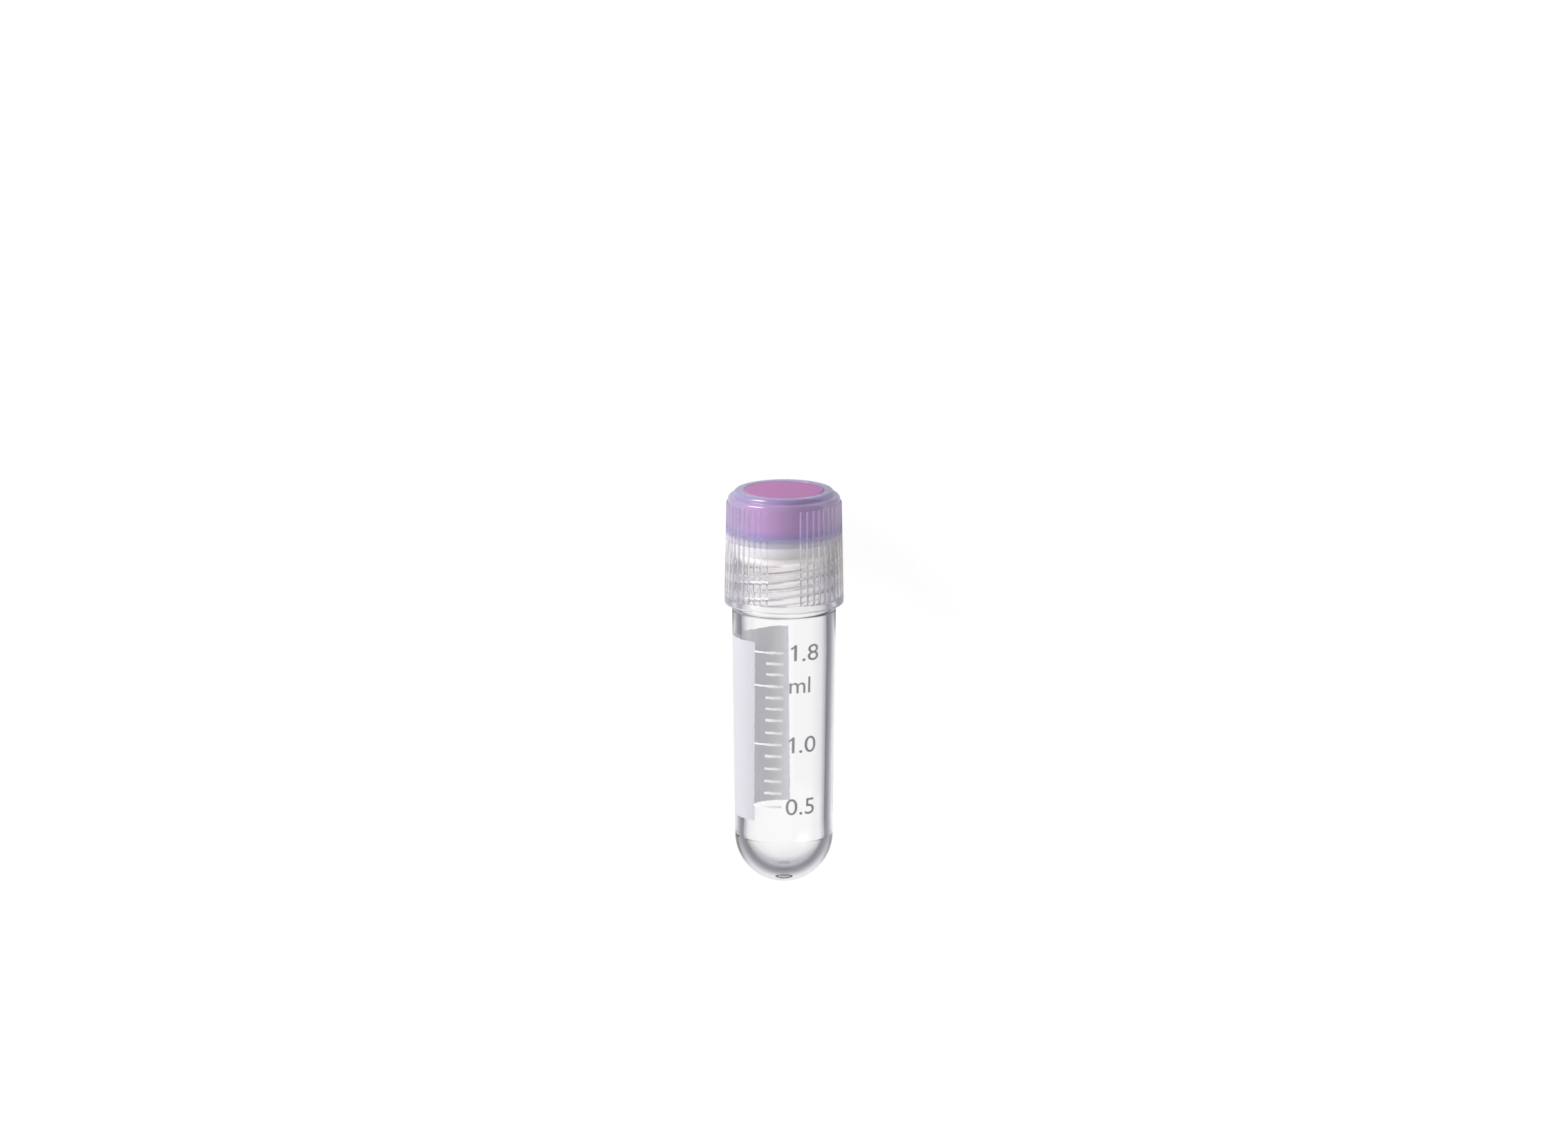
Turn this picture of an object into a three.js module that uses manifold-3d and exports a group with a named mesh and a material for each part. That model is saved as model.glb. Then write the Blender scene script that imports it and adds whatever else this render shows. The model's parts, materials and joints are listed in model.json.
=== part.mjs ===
// Cryogenic vial of nominal 1.8 ml: a drafted round-bottomed tube with a two-start thread round
// its neck, a ribbed screw cap, the coloured insert in the cap's top and the washer that seals it.
// Millimetres. Every piece is turned about +Y, with its front towards +Z; the last lines lay the
// closed vial on its side, cap towards +X and front upwards, as it rests on a bench.

import * as THREE from 'three';
import { mergeVertices } from 'three/addons/utils/BufferGeometryUtils.js';
import Module from 'manifold-3d';

const SIDES = 20; // flats round every turned surface; the vial lies on those that face down

// ---- Tube ----
const SHOULDER_HEIGHT = 32.03; // pole of the round bottom to the shoulder under the neck
const SHOULDER_RADIUS = 5.925; // the tube's outside just below the shoulder
const DRAFT = THREE.MathUtils.degToRad(0.72); // the tube widens this much towards its mouth
const WALL = 1;
const BOTTOM_WALL = 1.5; // at the pole; the round bottom thickens towards it
const GATE_RADIUS = 0.95; // moulding gate, a shallow dimple at the pole
const GATE_DEPTH = 0.25;

// ---- Neck and thread ----
const NECK_HEIGHT = 6.87; // shoulder to rim
const NECK_WALL = 0.58; // bore to thread root
const RIM_ROUND = 0.15;
const THREAD_DEPTH = 0.4;
const THREAD_LEAD = 3.8; // rise in one turn
const THREAD_STARTS = 2;
const THREAD_STEPS = 32; // straight steps in one turn
const THREAD_ROOT_WIDTH = 1;
const THREAD_CREST_WIDTH = 0.5;
const THREAD_ABOVE_SHOULDER = 1.37; // to the middle of the ridges, where they begin
const THREAD_BELOW_RIM = 0.65; // and where they end
const THREAD_FRONT = 1.97; // above the shoulder, where the first start passes the front
const THREAD_CLEARANCE = 0.15; // between one thread's crest and the other's root
const THREAD_RUN_OUT = 0.06; // share of each start's length that fades at either end

// ---- Cap ----
const CAP_ABOVE_SHOULDER = 0.7; // gap that shows below the closed cap
const CAP_WALL = 0.53; // thread root to the bottom of the ribs
const CAP_DRAFT = THREE.MathUtils.degToRad(1);
const CAP_FLOOR = 0.8; // disc between the washer and the insert
const CAP_THREAD_ABOVE_FOOT = 1;
const CAP_THREAD_BELOW_RIM = 0.75; // below the vial's rim, clear of the washer
const BAND_HEIGHT = 0.87; // smooth band round the cap's foot, as proud as the ribs
const BAND_CHAMFER = 0.1;
const RIB_HEIGHT = 0.215;
const RIB_WIDTH = 0.47;
const RIBS_A_SIDE = 22;
const WINDOW_HALF_ANGLE = THREE.MathUtils.degToRad(16.2); // ribless stretch, front and back
const COLLAR_HEIGHT = 0.6; // narrower tier round the insert
const COLLAR_STEP = 0.66; // how far it stands in from the tier below
const COLLAR_WALL = 1.1;
const SHOULDER_TIER_HEIGHT = 0.7; // ribless tier between the ribs and the collar
const TIER_ROUND = 0.4;

// ---- Insert ----
const INSERT_HEIGHT = 4.7;
const INSERT_TOP = 1.2; // disc that closes the insert
const INSERT_WALL = 0.9;
const INSERT_CHAMFER = 0.12;
const INSERT_CLEARANCE = 0.1;

// ---- Washer ----
const WASHER_THICKNESS = 1.1;
const WASHER_WIDTH = 1.5;
const WASHER_CLEARANCE = 0.1;

// ---- What follows from them ----
const boreRadius = SHOULDER_RADIUS - WALL;
const neckRadius = boreRadius + NECK_WALL;
const threadRadius = neckRadius + THREAD_DEPTH;
const rimHeight = SHOULDER_HEIGHT + NECK_HEIGHT;
const helixHeight = SHOULDER_HEIGHT + THREAD_FRONT;
const capThreadRoot = threadRadius + THREAD_CLEARANCE;
const capThreadCrest = neckRadius + THREAD_CLEARANCE;
const capFoot = SHOULDER_HEIGHT + CAP_ABOVE_SHOULDER;
const capFloorUnderside = rimHeight + WASHER_THICKNESS + 2 * WASHER_CLEARANCE;
const insertFoot = capFloorUnderside + CAP_FLOOR + INSERT_CLEARANCE;
const capTop = insertFoot + INSERT_HEIGHT;
const washerRadius = capThreadRoot - 2 * WASHER_CLEARANCE;
const bandRadius = capThreadRoot + CAP_WALL + RIB_HEIGHT;
const ribsTop = capTop - COLLAR_HEIGHT - SHOULDER_TIER_HEIGHT;
const ribRootAt = (height) => capThreadRoot + CAP_WALL - (height - capFoot) * Math.tan(CAP_DRAFT);
const tierRadius = ribRootAt(ribsTop);
const collarRadius = tierRadius - COLLAR_STEP;
const recessRadius = collarRadius - COLLAR_WALL;
const insertRadius = recessRadius - INSERT_CLEARANCE;

const wasm = await Module();
wasm.setup();

const point = (radius, height) => new THREE.Vector2(radius, height);

/** Points of an arc in the radius-height plane, ends included; angles from the outward radius. */
function arc(centreRadius, centreHeight, radius, fromAngle, toAngle, steps) {
  return Array.from({ length: steps + 1 }, (_, i) => {
    const angle = fromAngle + ((toAngle - fromAngle) * i) / steps;
    return point(centreRadius + radius * Math.cos(angle), centreHeight + radius * Math.sin(angle));
  });
}

/** A closed solid for joining: shared vertices merged, and triangles that shrank to a line left out. */
function solid(geometry) {
  geometry.deleteAttribute('normal');
  geometry.deleteAttribute('uv');
  const merged = mergeVertices(geometry, 1e-4);
  const index = merged.index.array;
  const triVerts = [];
  for (let i = 0; i < index.length; i += 3) {
    const [a, b, c] = index.slice(i, i + 3);
    if (a !== b && b !== c && c !== a) triVerts.push(a, b, c);
  }
  return new wasm.Manifold(
    new wasm.Mesh({
      numProp: 3,
      vertProperties: Float32Array.from(merged.attributes.position.array),
      triVerts: Uint32Array.from(triVerts),
    }),
  );
}

/** A solid turned about the axis from an outline that runs up its outside and gives its flats. */
function turned(outline) {
  const toCorner = 1 / Math.cos(Math.PI / SIDES);
  const corners = outline.map(({ x, y }) => point(x * toCorner, y));
  return solid(new THREE.LatheGeometry(corners, SIDES, Math.PI / SIDES));
}

/**
 * One start of a thread: a straight ridge of the thread's section, wound onto the helix that
 * passes the front at helixHeight. The ridge's middle runs between the two heights in span.
 */
function ridge({ rootRadius, crestRadius, helixHeight, span }, startTurn) {
  const [firstTurn, lastTurn] = span.map((height) => (height - helixHeight) / THREAD_LEAD);
  const outward = Math.sign(crestRadius - rootRadius);
  const sunk = rootRadius - outward * THREAD_CLEARANCE; // so that the ridge joins its wall all along
  const half = THREAD_ROOT_WIDTH / 2;
  const halfCrest = THREAD_CREST_WIDTH / 2;
  const section = new THREE.Shape([
    point(-half, sunk),
    point(half, sunk),
    point(half, rootRadius),
    point(halfCrest, crestRadius),
    point(-halfCrest, crestRadius),
    point(-half, rootRadius),
  ]);
  const steps = Math.round((lastTurn - firstTurn) * THREAD_STEPS);
  const bar = new THREE.ExtrudeGeometry(section, { depth: 1, steps, bevelEnabled: false });
  const position = bar.attributes.position;
  for (let i = 0; i < position.count; i += 1) {
    const along = position.getZ(i);
    const turn = firstTurn + along * (lastTurn - firstTurn);
    const angle = 2 * Math.PI * (turn + startTurn);
    const fade = Math.min(1, along / THREAD_RUN_OUT, (1 - along) / THREAD_RUN_OUT);
    const proud = (position.getY(i) - sunk) * outward;
    const lowered = sunk + outward * Math.min(proud, THREAD_CLEARANCE / 2 + proud * fade);
    position.setXYZ(
      i,
      lowered * Math.sin(angle),
      helixHeight + turn * THREAD_LEAD + position.getX(i),
      lowered * Math.cos(angle),
    );
  }
  return solid(bar);
}

/** Every start of one thread, evenly spaced round the axis. */
const thread = (options) =>
  Array.from({ length: THREAD_STARTS }, (_, start) => ridge(options, start / THREAD_STARTS));

/** Radius of the round bottom that a drafted wall meets without a crease. */
const domeRadius = (mouthRadius, length) =>
  (mouthRadius - length * Math.tan(DRAFT)) / (Math.cos(DRAFT) + (Math.sin(DRAFT) - 1) * Math.tan(DRAFT));

// ---- Vial: one moulding, with its bore, neck and thread ----
const outerDome = domeRadius(SHOULDER_RADIUS, SHOULDER_HEIGHT);
const innerDome = domeRadius(boreRadius, SHOULDER_HEIGHT - BOTTOM_WALL);
const gateAngle = Math.asin(GATE_RADIUS / outerDome);
const domeOutline = arc(0, outerDome, outerDome, gateAngle - Math.PI / 2, -DRAFT, 12);

function vial() {
  const wall = turned([
    point(0, GATE_DEPTH),
    point(GATE_RADIUS - GATE_DEPTH, GATE_DEPTH),
    ...domeOutline,
    point(SHOULDER_RADIUS, SHOULDER_HEIGHT),
    point(neckRadius, SHOULDER_HEIGHT),
    point(neckRadius, rimHeight - RIM_ROUND),
    point(neckRadius - RIM_ROUND, rimHeight),
    point(boreRadius + RIM_ROUND, rimHeight),
    point(boreRadius, rimHeight - RIM_ROUND),
    point(boreRadius, SHOULDER_HEIGHT),
    ...arc(0, BOTTOM_WALL + innerDome, innerDome, -DRAFT, -Math.PI / 2, 10),
  ]);
  const ridges = thread({
    rootRadius: neckRadius,
    crestRadius: threadRadius,
    helixHeight,
    span: [SHOULDER_HEIGHT + THREAD_ABOVE_SHOULDER, rimHeight - THREAD_BELOW_RIM],
  });
  return wasm.Manifold.union([wall, ...ridges]);
}

// ---- Cap: skirt with its inside thread, floor, recess for the insert, band and ribs ----
function rib(angle) {
  const half = RIB_WIDTH / 2;
  const foot = capFoot + BAND_HEIGHT - BAND_CHAMFER;
  const outline = new THREE.Shape();
  outline.absarc(0, ribsTop - foot - half, half, 0, Math.PI, false);
  outline.absarc(0, half, half, Math.PI, 2 * Math.PI, false);
  const bar = new THREE.ExtrudeGeometry(outline, {
    depth: 2 * RIB_HEIGHT,
    bevelEnabled: false,
    curveSegments: 3,
  });
  bar.rotateX(-CAP_DRAFT);
  bar.translate(0, foot, ribRootAt(foot) - RIB_HEIGHT);
  bar.rotateY(angle);
  return solid(bar);
}

function ribs() {
  const edge = RIB_WIDTH / 2 / bandRadius;
  const first = WINDOW_HALF_ANGLE + edge;
  const pitch = (Math.PI - 2 * first) / (RIBS_A_SIDE - 1);
  return Array.from({ length: 2 * RIBS_A_SIDE }, (_, i) => {
    const side = i < RIBS_A_SIDE ? 1 : -1;
    return rib(side * (first + (i % RIBS_A_SIDE) * pitch));
  });
}

const bandOutline = [
  point(bandRadius - BAND_CHAMFER, capFoot),
  point(bandRadius, capFoot + BAND_CHAMFER),
  point(bandRadius, capFoot + BAND_HEIGHT),
];

function cap() {
  const collarFoot = capTop - COLLAR_HEIGHT;
  const shell = turned([
    point(0, capFloorUnderside),
    point(capThreadRoot, capFloorUnderside),
    point(capThreadRoot, capFoot + BAND_CHAMFER),
    point(capThreadRoot + BAND_CHAMFER, capFoot),
    ...bandOutline,
    point(ribRootAt(capFoot + BAND_HEIGHT), capFoot + BAND_HEIGHT + RIB_HEIGHT / 2),
    ...arc(tierRadius - TIER_ROUND, collarFoot - TIER_ROUND, TIER_ROUND, 0, Math.PI / 2, 3),
    point(collarRadius, collarFoot),
    ...arc(collarRadius - TIER_ROUND, capTop - TIER_ROUND, TIER_ROUND, 0, Math.PI / 2, 3),
    point(recessRadius, capTop),
    point(recessRadius, insertFoot - INSERT_CLEARANCE),
    point(0, insertFoot - INSERT_CLEARANCE),
  ]);
  const ridges = thread({
    rootRadius: capThreadRoot,
    crestRadius: capThreadCrest,
    helixHeight: helixHeight + THREAD_LEAD / THREAD_STARTS / 2,
    span: [capFoot + CAP_THREAD_ABOVE_FOOT, rimHeight - CAP_THREAD_BELOW_RIM],
  });
  return wasm.Manifold.union([shell, ...ridges, ...ribs()]);
}

// ---- Cap insert: a cup pressed upside down into the recess, its top flush with the collar ----
function capInsert() {
  const inside = insertRadius - INSERT_WALL;
  return turned([
    point(0, capTop - INSERT_TOP),
    point(inside, capTop - INSERT_TOP),
    point(inside, insertFoot),
    point(insertRadius - INSERT_CHAMFER, insertFoot),
    point(insertRadius, insertFoot + INSERT_CHAMFER),
    point(insertRadius, capTop - INSERT_CHAMFER),
    point(insertRadius - INSERT_CHAMFER, capTop),
    point(0, capTop),
  ]);
}

// ---- Sealing washer: a flat ring between the cap's floor and the vial's rim ----
function sealingWasher() {
  const foot = rimHeight + WASHER_CLEARANCE;
  const corner = point(washerRadius - WASHER_WIDTH, foot);
  return turned([
    corner,
    point(washerRadius, foot),
    point(washerRadius, foot + WASHER_THICKNESS),
    point(washerRadius - WASHER_WIDTH, foot + WASHER_THICKNESS),
    corner,
  ]);
}

function piece(name, shape, color, roughness) {
  const { vertProperties, triVerts } = shape.getMesh();
  const geometry = new THREE.BufferGeometry();
  geometry.setAttribute('position', new THREE.BufferAttribute(vertProperties, 3));
  geometry.setIndex(new THREE.BufferAttribute(triVerts, 1));
  const material = new THREE.MeshStandardMaterial({ color, roughness, metalness: 0 });
  const mesh = new THREE.Mesh(geometry, material);
  mesh.name = name;
  return mesh;
}

const upright = new THREE.Group();
upright.add(
  piece('vial', vial(), 0xe4e4ea, 0.25),
  piece('cap', cap(), 0xdcdce6, 0.3),
  piece('cap_insert', capInsert(), 0xb583b5, 0.45),
  piece('sealing_washer', sealingWasher(), 0xf2f2f0, 0.7),
);
upright.rotation.z = -Math.PI / 2;

// The closed vial rests on the flats of its cap's band and its round bottom, so its axis leans by
// the slope of the line that touches both from below.
const slope = (band, dome) => Math.atan2(band.x - dome.x, band.y - dome.y);
const lean = Math.max(
  ...bandOutline.map((band) => Math.min(...domeOutline.map((dome) => slope(band, dome)))),
);
const cryovial = new THREE.Group();
cryovial.add(upright);
cryovial.rotation.y = -lean;

const box = new THREE.Box3().setFromObject(cryovial, true);
const middle = box.getCenter(new THREE.Vector3());
cryovial.position.set(-middle.x, -middle.y, -box.min.z);

export default cryovial;
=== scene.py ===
import json
import math
import random

import bpy
from mathutils import Matrix, Vector


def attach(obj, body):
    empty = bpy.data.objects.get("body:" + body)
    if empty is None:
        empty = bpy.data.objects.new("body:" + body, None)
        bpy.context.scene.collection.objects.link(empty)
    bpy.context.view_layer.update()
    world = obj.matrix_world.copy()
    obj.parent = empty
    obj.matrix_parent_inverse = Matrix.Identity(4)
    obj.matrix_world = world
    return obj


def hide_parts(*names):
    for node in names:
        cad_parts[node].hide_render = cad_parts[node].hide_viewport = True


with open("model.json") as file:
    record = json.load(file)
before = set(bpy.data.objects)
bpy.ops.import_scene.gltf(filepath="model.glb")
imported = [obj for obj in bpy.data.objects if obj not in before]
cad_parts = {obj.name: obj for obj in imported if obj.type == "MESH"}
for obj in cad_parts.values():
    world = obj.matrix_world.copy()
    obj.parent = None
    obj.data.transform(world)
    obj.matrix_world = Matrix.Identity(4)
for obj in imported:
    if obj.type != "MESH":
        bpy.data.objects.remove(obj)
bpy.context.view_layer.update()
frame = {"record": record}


# ---- Tube ----
# The body of the vial, injection-moulded in clear polypropylene: a thick round bottom with the gate's
# dimple at its pole, a wall that widens a little towards the mouth, and a neck with a two-start
# thread outside. Each piece is made upright about Z, front towards -Y, and then laid down.

MM = 0.001
TOTAL_HEIGHT = 45.8
SHOULDER_HEIGHT = 32.03
SHOULDER_RADIUS = 5.925
DRAFT = math.radians(0.72)
WALL = 1.0
BOTTOM_WALL = 1.5
BORE_RADIUS = SHOULDER_RADIUS - WALL
GATE_RADIUS = 0.95
GATE_DEPTH = 0.25
PARTING_HEIGHT = 5.75
PARTING_DEPTH = 0.015
NECK_RADIUS = 5.505
RIM_HEIGHT = 38.9
LEAD = 3.8
THREAD_CREST = 5.905
THREAD_SPAN = (33.4, 38.25)
THREAD_FRONT = 34.0
THREAD_HALF_ROOT = 0.5
THREAD_HALF_CREST = 0.25
THREAD_STEPS = 96
THREAD_SUNK = 0.1
THREAD_RUN_OUT = 0.06
THREAD_ROUND = 0.1
THREAD_THINNEST = 0.1
CORNER_STEPS = 5
WELD = 0.0005 * MM
CREASE = math.radians(28)
POLYPROPYLENE_IOR = 1.49

mount = frame["record"]["mounts"][0]
along = Vector(mount["axis"]).normalized()
rightward = Vector((0, -1, 0))
frontward = rightward.cross(along)
pole = Vector(mount["pos_m"]) - along * TOTAL_HEIGHT * MM
lying = Matrix.Translation(pole) @ Matrix((rightward, -frontward, along)).transposed().to_4x4()


def alone(piece):
    """Selects one piece and nothing else."""
    bpy.ops.object.select_all(action="DESELECT")
    piece.select_set(True)
    bpy.context.view_layer.objects.active = piece
    return piece


def laid(piece):
    """Lays an upright piece where the vial lies, with its place in its mesh."""
    alone(piece)
    piece.matrix_world = lying @ piece.matrix_world
    bpy.ops.object.transform_apply(location=True, rotation=True, scale=True)
    return piece


def arc(centre, radius, first, last, steps):
    """Points of (radius, height) on an arc, ends included, with angles from the outward radius."""
    turns = [first + (last - first) * i / steps for i in range(steps + 1)]
    return [(centre[0] + radius * math.cos(a), centre[1] + radius * math.sin(a)) for a in turns]


def rounded(outline):
    """The outline with a curve at each corner that has a third number, how far the curve reaches."""
    points = []
    for i, (radius, height, *reach) in enumerate(outline):
        corner = Vector((radius, height))
        if not reach:
            points.append(corner)
            continue
        before = (Vector(outline[i - 1][:2]) - corner).normalized() * reach[0]
        after = (Vector(outline[i + 1][:2]) - corner).normalized() * reach[0]
        for k in range(CORNER_STEPS + 1):
            t = k / CORNER_STEPS
            points.append(corner + before * (1 - t) ** 2 + after * t ** 2)
    return points


def drawn(name, outline):
    """Draws an outline of (radius, height) in millimetres in the X-Z plane, and stays in edit mode."""
    bpy.ops.object.select_all(action="DESELECT")
    bpy.ops.mesh.primitive_plane_add(size=MM)
    piece = bpy.context.object
    piece.name = name
    bpy.ops.object.mode_set(mode="EDIT")
    bpy.ops.mesh.merge(type="CENTER")
    here = Vector((0, 0, 0))
    for i, (radius, height) in enumerate(rounded(outline)):
        step = Vector((radius, 0, height)) * MM - here
        if i == 0:
            bpy.ops.transform.translate(value=step)
        else:
            bpy.ops.mesh.extrude_region_move(TRANSFORM_OT_translate={"value": step})
        here += step
    bpy.ops.mesh.select_all(action="SELECT")
    return piece


def spun(name, outline, steps=160):
    """A solid spun about Z from an outline that starts and ends on the axis, or where it began."""
    piece = drawn(name, outline)
    bpy.ops.mesh.spin(steps=steps, angle=2 * math.pi, center=(0, 0, 0), axis=(0, 0, 1))
    bpy.ops.mesh.select_all(action="SELECT")
    bpy.ops.mesh.remove_doubles(threshold=WELD)
    bpy.ops.mesh.normals_make_consistent(inside=False)
    bpy.ops.object.mode_set(mode="OBJECT")
    return piece


def thread(name, root, crest, span, front_height):
    """Both starts of a thread: a bar wound on its helix, drawn down into the wall at each end."""
    into_wall = math.copysign(THREAD_SUNK, root - crest)
    section = [
        (root + into_wall, -THREAD_HALF_ROOT),
        (root, -THREAD_HALF_ROOT),
        (crest, -THREAD_HALF_CREST, THREAD_ROUND),
        (crest, THREAD_HALF_CREST, THREAD_ROUND),
        (root, THREAD_HALF_ROOT),
        (root + into_wall, THREAD_HALF_ROOT),
        (root + into_wall, -THREAD_HALF_ROOT),
    ]
    bar = drawn(name, section)
    bpy.ops.mesh.remove_doubles(threshold=WELD)
    bpy.ops.object.mode_set(mode="OBJECT")
    around = len(bar.data.vertices)
    turns = (span[1] - span[0]) / LEAD
    steps = round(turns * THREAD_STEPS)
    screw = bar.modifiers.new("screw", "SCREW")
    screw.angle = 2 * math.pi * turns
    screw.screw_offset = LEAD * turns * MM
    screw.steps = screw.render_steps = steps
    bpy.ops.object.modifier_apply(modifier="screw")
    fading = round(THREAD_RUN_OUT * steps)
    for step in [*range(fading), *range(steps + 1 - fading, steps + 1)]:
        angle = 2 * math.pi * turns * step / steps
        at_wall = Vector((math.cos(angle), math.sin(angle), 0)) * (root + into_wall / 2) * MM
        at_wall.z = LEAD * turns * step / steps * MM
        bpy.ops.object.mode_set(mode="EDIT")
        bpy.ops.mesh.select_all(action="DESELECT")
        bpy.ops.object.mode_set(mode="OBJECT")
        for vertex in bar.data.vertices[step * around:(step + 1) * around]:
            vertex.select = True
        bpy.ops.object.mode_set(mode="EDIT")
        size = max(THREAD_THINNEST, min(step, steps - step) / fading)
        bpy.ops.transform.resize(value=(size, size, size), center_override=at_wall)
    bpy.ops.mesh.select_all(action="SELECT")
    bpy.ops.mesh.fill_holes(sides=0)
    bpy.ops.mesh.normals_make_consistent(inside=False)
    bpy.ops.object.mode_set(mode="OBJECT")
    bar.location.z = span[0] * MM
    bar.rotation_euler.z = 2 * math.pi * (span[0] - front_height) / LEAD - math.pi / 2
    bpy.ops.object.transform_apply(location=True, rotation=True, scale=True)
    bpy.ops.object.duplicate()
    other = bpy.context.object
    other.rotation_euler.z = math.pi
    bpy.ops.object.transform_apply(location=True, rotation=True, scale=True)
    return [bar, other]


def joined(piece, parts):
    """Makes the parts one solid with the piece."""
    for part in parts:
        alone(piece)
        union = piece.modifiers.new("union", "BOOLEAN")
        union.operation = "UNION"
        union.solver = "MANIFOLD"
        union.object = part
        bpy.ops.object.modifier_apply(modifier="union")
        bpy.data.objects.remove(part)
    return piece


def gathered(pieces):
    """Joins the pieces into the first of them."""
    alone(pieces[0])
    for piece in pieces:
        piece.select_set(True)
    bpy.ops.object.join()
    return bpy.context.object


def dome(mouth_radius, length):
    """Radius of the round bottom that a drafted wall meets without a crease."""
    narrowed = mouth_radius - length * math.tan(DRAFT)
    return narrowed / (math.cos(DRAFT) + (math.sin(DRAFT) - 1) * math.tan(DRAFT))


def tube_radius(height):
    """Outside radius of the tube's drafted wall, in millimetres."""
    return SHOULDER_RADIUS - (SHOULDER_HEIGHT - height) * math.tan(DRAFT)


outer_dome = dome(SHOULDER_RADIUS, SHOULDER_HEIGHT)
inner_dome = dome(BORE_RADIUS, SHOULDER_HEIGHT - BOTTOM_WALL)
gate_angle = math.asin(GATE_RADIUS / outer_dome) - math.pi / 2
lip, *round_bottom = arc((0, outer_dome), outer_dome, gate_angle, -DRAFT, 32)
tube = spun("tube", [
    (0, GATE_DEPTH),
    (GATE_RADIUS - GATE_DEPTH, GATE_DEPTH, 0.08),
    (*lip, 0.08),
    *round_bottom,
    (tube_radius(PARTING_HEIGHT - 0.06), PARTING_HEIGHT - 0.06),
    (tube_radius(PARTING_HEIGHT) - PARTING_DEPTH, PARTING_HEIGHT),
    (tube_radius(PARTING_HEIGHT + 0.06), PARTING_HEIGHT + 0.06),
    *[(tube_radius(height), height) for height in range(8, 32, 4)],
    (SHOULDER_RADIUS, SHOULDER_HEIGHT, 0.12),
    (NECK_RADIUS, SHOULDER_HEIGHT, 0.12),
    *[(NECK_RADIUS, 33 + 0.75 * i) for i in range(8)],
    (NECK_RADIUS, RIM_HEIGHT, 0.15),
    (BORE_RADIUS, RIM_HEIGHT, 0.15),
    (BORE_RADIUS, SHOULDER_HEIGHT),
    *arc((0, BOTTOM_WALL + inner_dome), inner_dome, -DRAFT, -math.pi / 2, 32),
])
joined(tube, thread("tube_thread", NECK_RADIUS, THREAD_CREST, THREAD_SPAN, THREAD_FRONT))
alone(tube)
bpy.ops.object.shade_smooth_by_angle(angle=CREASE)
laid(tube)


def linear(colour):
    """An sRGB hex colour as the linear values that a socket takes."""
    parts = [int(colour[i:i + 2], 16) / 255 for i in (1, 3, 5)]
    return (*[c / 12.92 if c <= 0.04045 else ((c + 0.055) / 1.055) ** 2.4 for c in parts], 1)


def node(tree, kind, inputs=None, **settings):
    """Adds a node; each input is a value, or the output socket that feeds it."""
    made = tree.nodes.new(kind)
    for name, value in settings.items():
        setattr(made, name, value)
    for socket, value in (inputs or {}).items():
        if isinstance(value, bpy.types.NodeSocket):
            tree.links.new(value, made.inputs[socket])
        else:
            made.inputs[socket].default_value = value
    return made


def finish_named(name):
    """A new material with an empty node tree."""
    material = bpy.data.materials.new(name)
    material.use_nodes = True
    material.node_tree.nodes.clear()
    return material


def place_on_vial(tree):
    """Nodes for a point's place on the upright vial: whole, split in X, Y and Z, and off its axis."""
    coordinates = node(tree, "ShaderNodeTexCoord")
    upright = node(tree, "ShaderNodeMapping", {
        "Vector": coordinates.outputs["Object"],
        "Location": lying.to_translation(),
        "Rotation": lying.to_euler(),
    }, vector_type="TEXTURE")
    place = node(tree, "ShaderNodeSeparateXYZ", {"Vector": upright.outputs[0]})
    across = node(tree, "ShaderNodeCombineXYZ", {"X": place.outputs["X"], "Y": place.outputs["Y"]})
    from_axis = node(tree, "ShaderNodeVectorMath", {0: across.outputs[0]}, operation="LENGTH")
    return upright, place, from_axis


def finish_clear(tree, surface, shade, volume=None):
    """Ends a clear plastic's tree: it casts no more shadow than the tint that shade gives."""
    path = node(tree, "ShaderNodeLightPath")
    clear = node(tree, "ShaderNodeBsdfTransparent", {"Color": linear(shade)})
    lit_through = node(tree, "ShaderNodeMixShader", {
        0: path.outputs["Is Shadow Ray"],
        1: surface.outputs[0],
        2: clear.outputs[0],
    })
    output = node(tree, "ShaderNodeOutputMaterial", {"Surface": lit_through.outputs[0]})
    if volume:
        tree.links.new(volume.outputs[0], output.inputs["Volume"])


# Clear polypropylene off a polished mould: glass-like, with hair-fine scratches along the tube from
# handling. The core pin leaves the neck's bore and the bore's end a little dull, so that what lies
# behind them is blurred; the rim is milky, and round the gate's dimple the colour is painted darker,
# a painted reflection of dark in the dimple's walls.
clear_polypropylene = finish_named("clear_moulded_polypropylene")
tree = clear_polypropylene.node_tree
upright, place, from_axis = place_on_vial(tree)
stretched = node(tree, "ShaderNodeMapping", {
    "Vector": upright.outputs[0],
    "Scale": (1, 1, 0.04),
})
scratches = node(tree, "ShaderNodeTexNoise", {
    "Vector": stretched.outputs[0],
    "Scale": 1 / (0.35 * MM),
    "Detail": 3.0,
})
bump = node(tree, "ShaderNodeBump", {
    "Height": scratches.outputs["Fac"],
    "Strength": 0.25,
    "Distance": 0.004 * MM,
})
neck_polish = node(tree, "ShaderNodeMapRange", {
    "Value": from_axis.outputs["Value"],
    "From Min": 5.1 * MM,
    "From Max": 5.2 * MM,
    "To Min": 0.2,
    "To Max": 0.03,
})
in_neck = node(tree, "ShaderNodeMapRange", {
    "Value": place.outputs["Z"],
    "From Min": 31.9 * MM,
    "From Max": 32.6 * MM,
})
wall_polish = node(tree, "ShaderNodeMix", {
    "Factor": in_neck.outputs[0],
    "A": 0.015,
    "B": neck_polish.outputs[0],
})
ledge = node(tree, "ShaderNodeMath", {
    0: place.outputs["Z"],
    1: SHOULDER_HEIGHT * MM,
    2: 0.14 * MM,
}, operation="COMPARE")
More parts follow.
